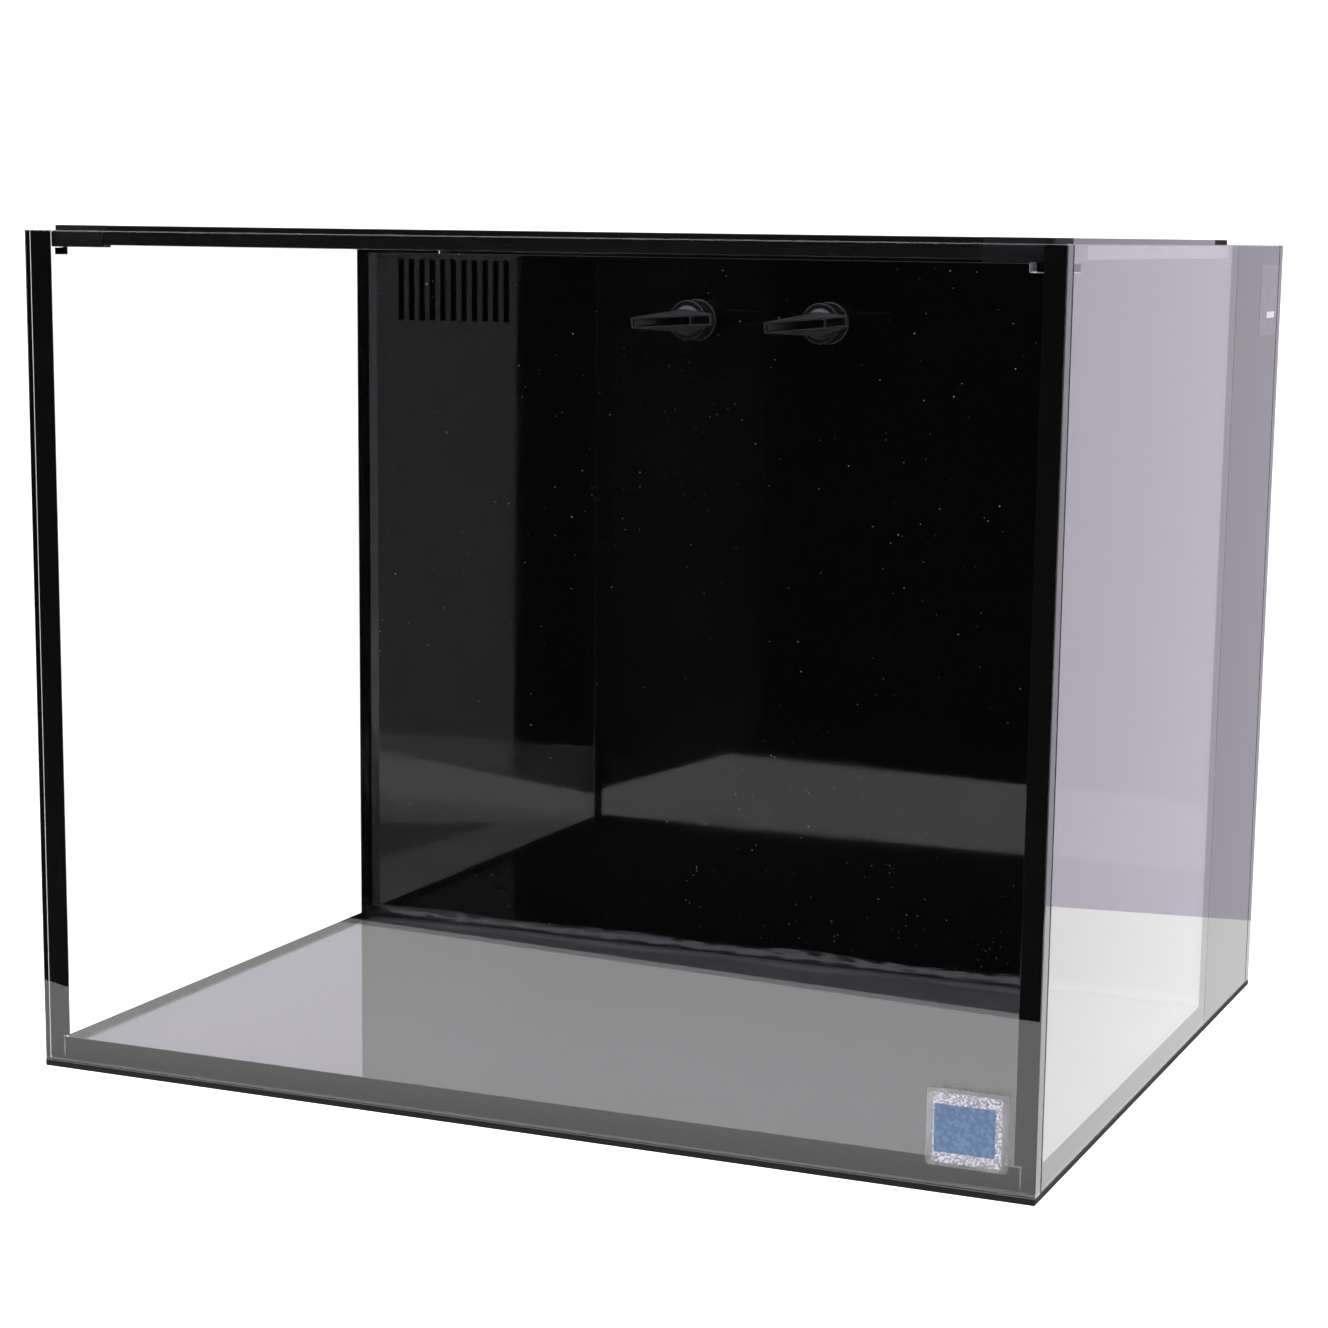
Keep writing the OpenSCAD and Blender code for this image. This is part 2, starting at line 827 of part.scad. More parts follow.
module bulkhead_nuts() {
    color("#16161a")
        for (x = [left_x, right_x])
            at_return(x) translate([0, 0, -wall_t - gasket_t - nut_t])
                difference() {
                    cylinder(r = nut_r, h = nut_t, $fn = 6);
                    translate([0, 0, -eps]) cylinder(r = thread_r + run_fit, h = nut_t + 2 * eps);
                }
}

// Ring that turns on the bulkhead's spigot and holds the nozzle's ball
module swivel_ring(x) {
    ring_back = flange_t + move_gap;
    color("#121214")
        at_return(x)
            difference() {
                translate([0, 0, ring_back]) cylinder(r = ring_r, h = ring_front - ring_back);
                translate([0, 0, ring_back - eps]) cylinder(r = spigot_r + run_fit, h = spigot_l + eps);
                translate([0, 0, ball_reach]) sphere(r = ball_r + move_gap);
            }
}

module swivel_ring_left() {
    swivel_ring(left_x);
}

module swivel_ring_right() {
    swivel_ring(right_x);
}

// Flat mouth, its long side along X
module mouth_outline(width, height) {
    translate([-width / 2, -height / 2]) bevel_square([width, height], 0.5);
}

// Fan-shaped nozzle with a ball at its root, drawn up +Z from the middle of the ball
module fan_nozzle(x, roll) {
    reach = nozzle_reach - ball_reach;
    in_w = mouth_w - 2 * nozzle_t;
    in_h = mouth_h - 2 * nozzle_t;
    rib_x = mouth_w * 0.23;
    rib_l = 6;
    rib_back = 1.5;
    color("#232326")
        at_return(x) translate([0, 0, ball_reach]) rotate([0, 0, roll]) {
            difference() {
                union() {
                    intersection() {
                        sphere(r = ball_r);
                        translate([-ball_r, -ball_r, -ball_back]) cube([2 * ball_r, 2 * ball_r, 3 * ball_r]);
                    }
                    cylinder(r = neck_r, h = neck_len);
                    hull() {
                        translate([0, 0, neck_len - 1]) cylinder(r = neck_r, h = 1, $fn = 32);
                        translate([0, 0, reach - mouth_rim])
                            linear_extrude(mouth_rim) mouth_outline(mouth_w, mouth_h);
                    }
                }
                translate([0, 0, -ball_r]) cylinder(r = neck_bore_r, h = ball_r + neck_len);
                hull() {
                    translate([0, 0, neck_len - 1]) cylinder(r = neck_bore_r, h = 1, $fn = 32);
                    translate([0, 0, reach - mouth_rim])
                        linear_extrude(mouth_rim + 1) mouth_outline(in_w, in_h);
                }
            }
            translate([rib_x - nozzle_t / 2, -mouth_h / 2 + nozzle_t / 2, reach - rib_back - rib_l])
                cube([nozzle_t, mouth_h - nozzle_t, rib_l]);
        }
}

module fan_nozzle_left() {
    fan_nozzle(left_x, left_roll);
}

module fan_nozzle_right() {
    fan_nozzle(right_x, right_roll);
}

// ---- Lid ----

// Outline of the lid grown inwards by a distance, with square corners
module lid_outline(inset) {
    translate([-lid_x + inset, lid_front + inset])
        square([2 * (lid_x - inset), lid_back - lid_front - 2 * inset]);
}

// Solid frame of the lid with its groove and net ledge, before it is cut into rails and corners.
// It reaches down by a drop below the rails.
module lid_frame(drop) {
    difference() {
        translate([0, 0, lid_z - drop]) linear_extrude(rail_h + drop)
            difference() {
                hull() {
                    for (x = [-1, 1], y = [lid_front + corner_r, lid_back - corner_r])
                        translate([x * (lid_x - corner_r), y]) circle(r = corner_r);
                }
                lid_outline(rail_w);
            }
        translate([0, 0, lid_top - groove_d]) linear_extrude(groove_d + 1)
            difference() {
                lid_outline(groove_in);
                lid_outline(groove_in + groove_w);
            }
        translate([0, 0, lid_top - net_t]) linear_extrude(net_t + 1) lid_outline(groove_in + groove_w / 2);
    }
}

// Squares that the corner connectors take up
module corner_zones() {
    for (x = [-1, 1], y = [lid_front, lid_back])
        translate([x * lid_x, y, lid_z]) cube([2 * corner_l, 2 * corner_l, 4 * rail_h], center = true);
}

// Tenons of the corner connectors, with a clearance all round
module tenons(gap) {
    mid_z = (lid_z + lid_top - groove_d) / 2;
    for (x = [-1, 1], y = [-1, 1]) {
        rail_mid_y = y < 0 ? lid_front + rail_w / 2 : lid_back - rail_w / 2;
        end_y = y < 0 ? lid_front + corner_l : lid_back - corner_l;
        translate([x * (lid_x - corner_l), rail_mid_y, mid_z])
            cube([2 * (tenon.z + gap), tenon.x + 2 * gap, tenon.y + 2 * gap], center = true);
        translate([x * (lid_x - rail_w / 2), end_y, mid_z])
            cube([tenon.x + 2 * gap, 2 * (tenon.z + gap), tenon.y + 2 * gap], center = true);
    }
}

// Part of the frame inside a block, which reaches well past the rail on both sides
module lid_rail(low, high) {
    color("#17171a")
        difference() {
            intersection() {
                lid_frame(0);
                translate([low.x, low.y, lid_z - rail_h])
                    cube([high.x - low.x, high.y - low.y, 3 * rail_h]);
            }
            tenons(push_fit);
        }
}

module lid_rail_front() {
    lid_rail([corner_l - lid_x, lid_front - rail_w], [lid_x - corner_l, lid_front + 2 * rail_w]);
}

module lid_rail_back() {
    lid_rail([corner_l - lid_x, lid_back - 2 * rail_w], [lid_x - corner_l, lid_back + rail_w]);
}

module lid_rail_left() {
    lid_rail([-lid_x - rail_w, lid_front + corner_l], [2 * rail_w - lid_x, lid_back - corner_l]);
}

module lid_rail_right() {
    lid_rail([lid_x - 2 * rail_w, lid_front + corner_l], [lid_x + rail_w, lid_back - corner_l]);
}

module lid_corners() {
    color("#0f0f10") {
        intersection() {
            lid_frame(corner_drop);
            corner_zones();
        }
        tenons(0);
    }
}

module lid_spline() {
    color("#0b0b0b")
        translate([0, 0, lid_top - groove_d]) linear_extrude(groove_d)
            difference() {
                lid_outline(groove_in);
                lid_outline(groove_in + groove_w);
            }
}

module lid_net() {
    color("#e9eef0", 0.5)
        translate([0, 0, lid_top - net_t]) linear_extrude(net_t) lid_outline(groove_in + groove_w);
}

leveling_mat();
bottom_pane();
front_pane();
left_pane();
right_pane();
back_pane();
corner_seams_front();
corner_seams_back();
floor_seam_front();
floor_seam_back();
floor_seams_side();
rear_wall();
rear_wall_bead();
rear_wall_seams();
divider_intake();
divider_overflow();
divider_pump();
side_film_left();
side_film_right();
lid_rests();
front_label();
side_label();
sock_bracket();
sock_ring();
filter_sock();
caddy_ledges();
media_caddy();
foam_block();
ceramic_media();
pump_housing();
pump_cover();
impeller();
impeller_shaft();
flow_dial();
pump_feet();
cable_gland();
riser_hose();
tee_fitting();
elbow_left();
elbow_right();
bulkhead_left();
bulkhead_right();
gaskets();
bulkhead_nuts();
swivel_ring_left();
swivel_ring_right();
fan_nozzle_left();
fan_nozzle_right();
lid_rail_front();
lid_rail_back();
lid_rail_left();
lid_rail_right();
lid_corners();
lid_spline();
lid_net();
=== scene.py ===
import json
import math
import random

import bmesh
import bpy
from mathutils import Matrix, Vector, noise

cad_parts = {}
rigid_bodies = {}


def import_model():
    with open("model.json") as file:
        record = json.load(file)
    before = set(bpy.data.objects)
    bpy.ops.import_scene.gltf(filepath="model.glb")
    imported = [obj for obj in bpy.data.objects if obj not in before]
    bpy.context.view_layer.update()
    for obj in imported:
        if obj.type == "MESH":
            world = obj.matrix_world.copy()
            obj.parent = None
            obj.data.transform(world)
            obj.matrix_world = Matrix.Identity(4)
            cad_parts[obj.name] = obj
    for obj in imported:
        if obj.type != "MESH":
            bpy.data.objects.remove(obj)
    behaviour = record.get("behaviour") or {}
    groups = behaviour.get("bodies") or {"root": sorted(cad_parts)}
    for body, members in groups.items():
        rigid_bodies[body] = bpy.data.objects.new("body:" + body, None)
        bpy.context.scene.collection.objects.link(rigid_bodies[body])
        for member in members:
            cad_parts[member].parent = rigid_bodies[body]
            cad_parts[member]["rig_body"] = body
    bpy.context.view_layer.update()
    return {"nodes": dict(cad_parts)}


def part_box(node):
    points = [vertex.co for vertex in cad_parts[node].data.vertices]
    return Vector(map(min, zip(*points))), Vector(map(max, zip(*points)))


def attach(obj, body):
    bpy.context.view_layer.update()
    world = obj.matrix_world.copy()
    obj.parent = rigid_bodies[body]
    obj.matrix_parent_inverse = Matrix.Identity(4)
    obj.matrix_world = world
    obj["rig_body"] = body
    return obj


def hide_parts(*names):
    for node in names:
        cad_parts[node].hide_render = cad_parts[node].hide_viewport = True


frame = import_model()
print("frame loaded,", len(frame["nodes"]), "nodes")

scene = bpy.context.scene
scene.view_settings.view_transform = "Standard"
mm = 0.001


# Camera, a little right of the tank with its lens level with the rim

cameraSetup = {
    "place": (0.7022, -1.6694, 0.4930),
    "turn": 22.861,  # degrees left of straight back
    "drop": 10.141,  # degrees below level
    "roll": 0.745,
    "lens": 79.88,
    "shift": (-0.0155, 0.0723),
}


def makeCamera(setup):
    turn, drop, roll = (math.radians(setup[k]) for k in ("turn", "drop", "roll"))
    ahead = Vector((-math.sin(turn) * math.cos(drop), math.cos(turn) * math.cos(drop), -math.sin(drop)))
    right = Vector((math.cos(turn), math.sin(turn), 0))
    up = right.cross(ahead)
    across = right * math.cos(roll) + up * math.sin(roll)
    upright = up * math.cos(roll) - right * math.sin(roll)
    lens = bpy.data.cameras.new("camera")
    lens.lens = setup["lens"]
    lens.shift_x, lens.shift_y = setup["shift"]
    camera = bpy.data.objects.new("camera", lens)
    turned = Matrix((across, upright, -ahead)).transposed().to_4x4()
    camera.matrix_world = Matrix.Translation(setup["place"]) @ turned
    scene.collection.objects.link(camera)
    scene.camera = camera


makeCamera(cameraSetup)
print("camera placed")


# Shader maths: sums on values add Math nodes, and makeNode adds any other node

def plug(tree, socket, item):
    if isinstance(item, Value):
        tree.links.new(item.socket, socket)
    else:
        socket.default_value = item


def makeNode(tree, kind, settings=None, sockets=None, output=0):
    node = tree.nodes.new("ShaderNode" + kind)
    for name, item in (settings or {}).items():
        setattr(node, name, item)
    for name, item in (sockets or {}).items():
        plug(tree, node.inputs[name], item)
    return Value(tree, node.outputs[output])


class Value:
    def __init__(self, tree, socket):
        self.tree = tree
        self.socket = socket

    def maths(self, operation, first, second):
        return makeNode(self.tree, "Math", {"operation": operation}, {0: first, 1: second})

    def __add__(self, other):
        return self.maths("ADD", self, other)

    def __radd__(self, other):
        return self.maths("ADD", other, self)

    def __sub__(self, other):
        return self.maths("SUBTRACT", self, other)

    def __rsub__(self, other):
        return self.maths("SUBTRACT", other, self)

    def __mul__(self, other):
        return self.maths("MULTIPLY", self, other)

    def __rmul__(self, other):
        return self.maths("MULTIPLY", other, self)

    def __gt__(self, other):
        return self.maths("GREATER_THAN", self, other)

    def __lt__(self, other):
        return self.maths("LESS_THAN", self, other)

    def orMore(self, other):
        return self.maths("MAXIMUM", self, other)


socketNames = {
    "colour": "Base Color", "ior": "IOR", "through": "Transmission Weight", "sheen": "Sheen Weight",
    "sheenRoughness": "Sheen Roughness", "glow": "Emission Color", "glowStrength": "Emission Strength",
    "specular": "Specular IOR Level",
}


class Finish:
    def __init__(self, name, **sockets):
        self.material = bpy.data.materials.new(name)
        self.material.use_nodes = True
        self.tree = self.material.node_tree
        self.shader = self.tree.nodes["Principled BSDF"]
        self.set(**sockets)

    def set(self, **sockets):
        for name, item in sockets.items():
            plug(self.tree, self.shader.inputs[socketNames.get(name, name.capitalize())], item)

    def make(self, kind, settings=None, sockets=None, output=0):
        return makeNode(self.tree, kind, settings, sockets, output)

    def spot(self):
        return self.make("TexCoord", output="Object")

    def axis(self, number):
        return self.make("SeparateXYZ", None, {0: self.spot()}, number)

    def noise(self, scale, detail=2.0):
        return self.make("TexNoise", None, {"Vector": self.spot(), "Scale": scale, "Detail": detail})

    def cells(self, scale, output="Distance"):
        return self.make("TexVoronoi", None, {"Vector": self.spot(), "Scale": scale}, output)

    def fade(self, item, low, high):
        return self.make("MapRange", {"interpolation_type": "SMOOTHSTEP"}, {0: item, 1: low, 2: high})

    def blend(self, share, low, high):
        return self.make("Mix", {"data_type": "RGBA"}, {0: share, 6: low, 7: high}, 2)

    def bump(self, height, distance, strength=1.0):
        sockets = {"Height": height, "Distance": distance, "Strength": strength}
        self.set(normal=self.make("Bump", None, sockets))


def grey(level):
    return (level, level, level, 1)


# Studio: a lit table under the tank, a pale floor round it, and soft light from all sides but the front

studio = {
    "table": [
        (0.95, -0.54), (0.205, -0.608), (-0.345, -0.658), (-0.385, -0.389), (-0.48, 0.56), (0.95, 0.36),
    ],
    "floorReach": 9.0,
    "sideTable": [
        (-0.335, -0.285), (-0.45, -0.23), (-0.75, -0.1), (-0.75, -0.55), (-0.567, -0.481), (-0.379, -0.407),
    ],
    "sidePanel": [(-0.556, -0.613), (-1.3, -0.62)],  # stands beside the table
    "panelTop": 0.9,
    "panelFoot": -0.4,
    "tableLight": 2.6,
    "tableBack": 0.66,  # share of that light behind the tank
    "tableFade": (-0.32, -0.22),  # where along the depth it gets there
    "panelLight": 0.95,
    "backdropLight": 1.03,
    "seenLight": 1.4,  # of the backdrop and the floor themselves, which are over-exposed
    "leftSide": 58.0,  # degrees from the front at which the bright sides start
    "rightSide": 42.0,
    "sideFade": (0.0, 0.3),  # sines of the angles past them over which the light comes up
    "aboveFade": (0.25, 0.7),  # the same, from level
    "frontLight": 0.004,
    "aboveLight": 2.4,
    "tint": (1.03, 0.97, 1.13),
}


def stagePiece(name, points, finish):
    mesh = bpy.data.meshes.new(name)
    mesh.from_pydata(points, [], [tuple(range(len(points)))])
    mesh.materials.append(finish.material)
    piece = bpy.data.objects.new(name, mesh)
    scene.collection.objects.link(piece)


def seenDirectly(tree):  # 1 for what is seen straight or through glass, and 0 for what a surface reflects
    glossy, diffuse = (makeNode(tree, "LightPath", output=kind + " Depth") for kind in ("Glossy", "Diffuse"))
    return glossy + diffuse < 0.5


def glowing(name, strength, shown=None):  # shown, where given, is the one kind of view it isn't clear in
    finish = Finish(name, colour=grey(0), glow=grey(1), glowStrength=strength, roughness=1.0, specular=0.0)
    if shown:
        seen = seenDirectly(finish.tree)
        share = seen if shown == "direct" else 1 - seen
        surface = Value(finish.tree, finish.shader.outputs[0])
        mixed = finish.make("MixShader", None, {0: share, 1: finish.make("BsdfTransparent"), 2: surface})
        plug(finish.tree, finish.tree.nodes["Material Output"].inputs["Surface"], mixed)
    return finish


def makeStudio(setup):
    litTable = glowing("lit_table", setup["tableLight"])
    behind = litTable.fade(litTable.axis(1), *setup["tableFade"])
    litTable.set(glow=litTable.blend(behind, grey(1), grey(setup["tableBack"])))
    stagePiece("table", [(x, y, -0.5 * mm) for x, y in setup["table"]], litTable)
    stagePiece("side_table", [(x, y, -0.6 * mm) for x, y in setup["sideTable"]], litTable)
    reach = setup["floorReach"]
    floor = [(x * reach, y * reach, -1.5 * mm) for x, y in ((-1, -1), (1, -1), (1, 1), (-1, 1))]
    stagePiece("floor", floor, glowing("pale_floor", setup["seenLight"], "direct"))
    (nearX, nearY), (farX, farY) = setup["sidePanel"]
    top, foot = setup["panelTop"], setup["panelFoot"]
    panel = [(nearX, nearY, top), (farX, farY, top), (farX, farY, foot), (nearX - 0.008, nearY, foot)]
    stagePiece("side_panel", panel, glowing("side_panel", setup["panelLight"], "reflected"))

    world = bpy.data.worlds.new("studio")
    scene.world = world
    world.use_nodes = True
    tree = world.node_tree
    ray = makeNode(tree, "TexCoord", output="Generated")
    x, y, z = (makeNode(tree, "SeparateXYZ", None, {0: ray}, i) for i in range(3))

    def ramp(item, low, high):
        return makeNode(tree, "MapRange", {"interpolation_type": "SMOOTHSTEP"}, {0: item, 1: low, 2: high})

    def past(side, degrees):  # sine of how far a ray points beyond that many degrees off the front
        angle = math.radians(degrees)
        return x * (side * math.cos(angle)) + y * math.sin(angle)

    leftLight = ramp(past(-1, setup["leftSide"]), *setup["sideFade"])
    rightLight = ramp(past(1, setup["rightSide"]), *setup["sideFade"])
    sides = leftLight.orMore(rightLight)
    above = ramp(z, *setup["aboveFade"]) * setup["aboveLight"]
    level = (sides * setup["backdropLight"]).orMore(above).orMore(setup["frontLight"])
    seen = seenDirectly(tree)
    colour = makeNode(tree, "Mix", {"data_type": "RGBA"}, {0: seen, 6: (*setup["tint"], 1), 7: grey(1)}, 2)
    background = tree.nodes["Background"]
    plug(tree, background.inputs["Color"], colour)
    plug(tree, background.inputs["Strength"], seen * setup["seenLight"] + (1 - seen) * level)


makeStudio(studio)
print("studio lit")


# Finishes

def clear(name, tint, ior):
    finish = Finish(name, roughness=0.0, ior=ior, through=1.0)
    finish.set(colour=finish.blend(finish.noise(3), (*(c - 0.006 for c in tint), 1), (*tint, 1)))
    return finish


def glossBlack(name, level, ior, dust, smear):
    finish = Finish(name, ior=ior)
    cloud = finish.fade(finish.noise(6, 3), 0.4, 0.7)
    chance = finish.make("SeparateColor", None, {0: finish.cells(400, "Color")})
    chosen = chance < cloud * dust + dust * 0.2
    specks = (finish.cells(400) < 0.1 + finish.noise(160) * 0.1) * chosen
    bright = 0.1 + finish.fade(finish.noise(45, 2), 0.45, 0.75) * 0.9
    finish.set(colour=finish.blend(specks * bright, grey(level), (0.62, 0.61, 0.6, 1)))
    finish.set(roughness=(0.03 + cloud * smear).orMore(specks * 0.8))
    return finish


def silicone():
    finish = Finish("silicone", ior=1.42)
    finish.set(colour=finish.blend(finish.noise(40), grey(0.002), grey(0.005)))
    finish.set(roughness=0.12 + finish.noise(55, 3) * 0.14)
    finish.bump(finish.noise(90, 3), 0.5 * mm, 0.6)
    return finish


def plastic(name, level, rough, grain, ior=1.49):
    finish = Finish(name, ior=ior)
    finish.set(colour=finish.blend(finish.noise(26, 4), grey(level * 0.8), grey(level * 1.25)))
    finish.set(roughness=rough - 0.06 + finish.noise(60, 3) * 0.12)
    finish.bump(finish.noise(2600, 2), grain * mm, 0.7)
    return finish


def anodised():
    finish = Finish("anodised_rail", ior=1.5)
    finish.set(colour=finish.blend(finish.noise(35, 3), grey(0.003), grey(0.006)))
    finish.set(roughness=0.07 + finish.noise(30, 2) * 0.05)
    finish.bump(finish.noise(900, 2), 0.004 * mm, 0.5)
    return finish


def rubber(name, level, pores):
    finish = Finish(name, ior=1.5)
    finish.set(colour=finish.blend(finish.noise(30, 3), grey(level * 0.7), grey(level * 1.3)))
    finish.set(roughness=0.62 + finish.noise(200) * 0.2)
    finish.bump(finish.cells(pores), 0.12 * mm, 0.7)
    return finish


def matFoam():  # painted light: the top is painted light grey as if lit from above, and the cut sides keep the mat's black
    finish = Finish("mat", ior=1.3)
    # painted light: only the top face, picked by height, gets the lighter grey
    top = finish.axis(2) > 3.7 * mm
    paintedLitTop = finish.blend(finish.noise(18, 3), grey(0.13), grey(0.15))
    finish.set(colour=finish.blend(top, grey(0.004), paintedLitTop))
    finish.set(roughness=0.85 - finish.noise(60) * 0.1)
    return finish


def vinyl():
    finish = Finish("clear_vinyl", colour=(0.86, 0.9, 0.9, 1), ior=1.5, through=0.85)
    finish.set(roughness=0.12 + finish.noise(50) * 0.14)
    return finish


def felt():
    finish = Finish("felt", sheen=0.5, sheenRoughness=0.5, roughness=0.9)
    finish.set(colour=finish.blend(finish.noise(35, 4), (0.42, 0.41, 0.375, 1), (0.55, 0.54, 0.505, 1)))
    finish.bump(finish.noise(700, 3), 0.7 * mm, 0.8)
    return finish


def foam():
    finish = Finish("foam", roughness=0.95)
    pores = finish.fade(finish.cells(520), 0.1, 0.55)
    # painted shade: the pores are coloured darker, as the shade inside the holes
    finish.set(colour=finish.blend(pores, (0.004, 0.005, 0.008, 1), (0.022, 0.028, 0.045, 1)))
    finish.bump(pores, 1.2 * mm)
    return finish


def ceramic():
    finish = Finish("ceramic", roughness=0.85)
    finish.set(colour=finish.blend(finish.noise(300, 4), (0.60, 0.52, 0.42, 1), (0.80, 0.74, 0.64, 1)))
    finish.bump(finish.noise(1800, 3), 0.25 * mm, 0.8)
    return finish


def paleFinish(name, colour, rough):
    finish = Finish(name, ior=1.49)
    darker = (*(c * 0.9 for c in colour), 1)
    finish.set(colour=finish.blend(finish.noise(40, 3), darker, (*colour, 1)))
    finish.set(roughness=rough + finish.noise(90) * 0.1)
    finish.bump(finish.noise(1500), 0.03 * mm, 0.5)
    return finish


def frosted(name, colour, rough, grain, thin, thick):  # printed film, see-through where it is thin
    finish = Finish(name, ior=1.45)
    share = finish.fade(finish.noise(grain, 3), 0.4, 0.65)
    finish.set(colour=finish.blend(share, (*(c * 0.7 for c in colour), 1), (*colour, 1)))
    finish.set(roughness=rough + finish.noise(300) * 0.15, alpha=thin + share * (thick - thin))
    return finish


stickerFilm = frosted("sticker_film", (0.5, 0.5, 0.52), 0.2, 120, 0.06, 0.12)
stickerFrame = frosted("sticker_frame", (0.5, 0.5, 0.56), 0.4, 800, 0.15, 0.75)
stickerBlue = frosted("sticker_blue", (0.07, 0.135, 0.25), 0.3, 420, 0.9, 1.0)
greySticker = frosted("grey_sticker", (0.06, 0.06, 0.066), 0.06, 200, 0.95, 1.0)
ringPlastic = plastic("ring_plastic", 0.006, 0.2, 0.015)
cornerPlastic = plastic("corner_plastic", 0.003, 0.75, 0.03, 1.3)
finishes = {
    "clear_glass": clear("clear_glass", (0.988, 0.988, 0.991), 1.52),
    "black_glass": glossBlack("black_glass", 0.003, 1.5, 0.02, 0.02),
    "black_acrylic": glossBlack("black_acrylic", 0.0008, 1.34, 0.1, 0.03),
    "black_film": glossBlack("black_film", 0.003, 1.42, 0.004, 0.03),
    "silicone": silicone(),
    "mat": matFoam(),
    "soft_rubber": rubber("soft_rubber", 0.012, 1500),
    "black_plastic": plastic("black_plastic", 0.008, 0.38, 0.035),
    "grey_plastic": plastic("grey_plastic", 0.011, 0.34, 0.03),
    "white_plastic": paleFinish("white_plastic", (0.62, 0.62, 0.60), 0.35),
    "clear_vinyl": vinyl(),
    "anodised_rail": anodised(),
    "felt": felt(),
    "foam": foam(),
    "ceramic": ceramic(),
    "net": paleFinish("net", (0.76, 0.79, 0.80), 0.25),
    "label_stock": paleFinish("label_stock", (0.78, 0.78, 0.78), 0.4),
    "clear_acrylic": clear("clear_acrylic", (0.992, 0.992, 0.992), 1.03),
}


# Helpers for the pieces

sharpAngle = 35  # degrees from which an edge is rounded, and shaded sharp


def slotOf(node):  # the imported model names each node's material after its slot
    return frame["nodes"][node].data.materials[0].name.split(".")[0]


slotOfNode = {node: slotOf(node) for node in frame["nodes"]}
for node, cadPiece in frame["nodes"].items():
    cadPiece.data.materials[0] = finishes[slotOfNode[node]].material
    if slotOfNode[node] == "clear_glass":
        cadPiece.visible_shadow = False
print("finishes given to", len(frame["nodes"]), "nodes")


def finishPiece(name, mesh, finish, body, nodes, smooth):
    mesh.materials.append(finish.material)
    for face in mesh.polygons:
        face.use_smooth = True
    mesh.set_sharp_from_angle(angle=math.radians(smooth))
    piece = bpy.data.objects.new(name, mesh)
    scene.collection.objects.link(piece)
    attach(piece, body)
    if nodes:
        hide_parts(*nodes)
    return piece


def fromShape(name, shape, finish, body, nodes, smooth):
    mesh = bpy.data.meshes.new(name)
    shape.to_mesh(mesh)
    shape.free()
    return finishPiece(name, mesh, finish, body, nodes, smooth)


def fromLists(name, points, faces, finish, body, nodes, smooth):
    mesh = bpy.data.meshes.new(name)
    mesh.from_pydata(points, [], faces)
    mesh.update()
    return finishPiece(name, mesh, finish, body, nodes, smooth)


def tubeFaces(rings, around, closed=True, start=0):  # quads that join rings of points into a tube
    faces = []
    for i in range(rings - 1):
        for j in range(around):
            a, b = start + i * around + j, start + i * around + (j + 1) % around
            faces.append((a, b, b + around, a + around))
    if closed:
        faces.append(tuple(start + j for j in reversed(range(around))))
        faces.append(tuple(start + (rings - 1) * around + j for j in range(around)))
    return faces


def meshOf(node):  # the node's mesh with its flat faces whole again
    shape = bmesh.new()
    shape.from_mesh(frame["nodes"][node].data)
    bmesh.ops.remove_doubles(shape, verts=shape.verts, dist=0.002 * mm)
    bmesh.ops.dissolve_limit(
        shape, angle_limit=math.radians(0.6), verts=shape.verts, edges=shape.edges, delimit={"NORMAL"}
    )
    return shape


def softened(node, width, finish=None):  # a copy of a node with its sharp edges rounded
    shape = meshOf(node)
    paired = [edge for edge in shape.edges if len(edge.link_faces) == 2]
    sharp = [edge for edge in paired if math.degrees(edge.calc_face_angle(0)) > sharpAngle]
    bmesh.ops.bevel(
        shape, geom=sharp, offset=width * mm, segments=2, profile=0.5, affect="EDGES", clamp_overlap=True
    )
    slot = slotOfNode[node]
    body = frame["nodes"][node]["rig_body"]
    piece = fromShape(node + "_made", shape, finish or finishes[slot], body, [node], sharpAngle)
    piece.modifiers.new("even", "WEIGHTED_NORMAL").keep_sharp = True
    return piece


# Hard parts whose edges are rounded, in millimetres

edgeWidths = {
    "lid_rail_front": 0.6, "lid_rail_back": 0.6, "lid_rail_left": 0.6, "lid_rail_right": 0.6,
    "lid_corners": 0.5, "lid_spline": 1.1, "rear_wall": 0.25, "divider_intake": 0.3, "divider_overflow": 0.3,
    "divider_pump": 0.3, "sock_bracket": 0.3, "caddy_ledges": 0.3, "lid_rests": 0.6, "sock_ring": 1.2,
    "media_caddy": 0.4, "pump_housing": 0.8, "pump_cover": 0.4, "flow_dial": 0.4, "pump_feet": 0.8,
    "cable_gland": 0.5, "impeller": 0.25, "tee_fitting": 0.5, "bulkhead_left": 0.6, "bulkhead_right": 0.6,
    "bulkhead_nuts": 0.7, "gaskets": 0.5, "leveling_mat": 0.5, "riser_hose": 0.3, "elbow_left": 0.3,
    "elbow_right": 0.3, "swivel_ring_left": 0.6, "swivel_ring_right": 0.6, "fan_nozzle_left": 0.25,
    "fan_nozzle_right": 0.25, "corner_seams_front": 0.5, "corner_seams_back": 0.5, "floor_seam_front": 0.5,
    "floor_seam_back": 0.5, "floor_seams_side": 0.5, "rear_wall_seams": 0.5,
}
hair = 0.03  # the least gap between two faces that would otherwise lie in one another
ownFinish = {"swivel_ring_left": ringPlastic, "swivel_ring_right": ringPlastic, "lid_corners": cornerPlastic}
rounded = {node: softened(node, width, finish=ownFinish.get(node)) for node, width in edgeWidths.items()}
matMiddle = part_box("leveling_mat")[1].z / 2
for vertex in rounded["leveling_mat"].data.vertices:  # its top goes into the glass, so no air is seen there
    if vertex.co.z > matMiddle:
        vertex.co.z += hair * mm
print("edges rounded on", len(edgeWidths), "nodes")


# Net of the lid, plain woven from clear thread

netting = {"mesh": 6.0, "thread": 0.44, "weave": 0.17}


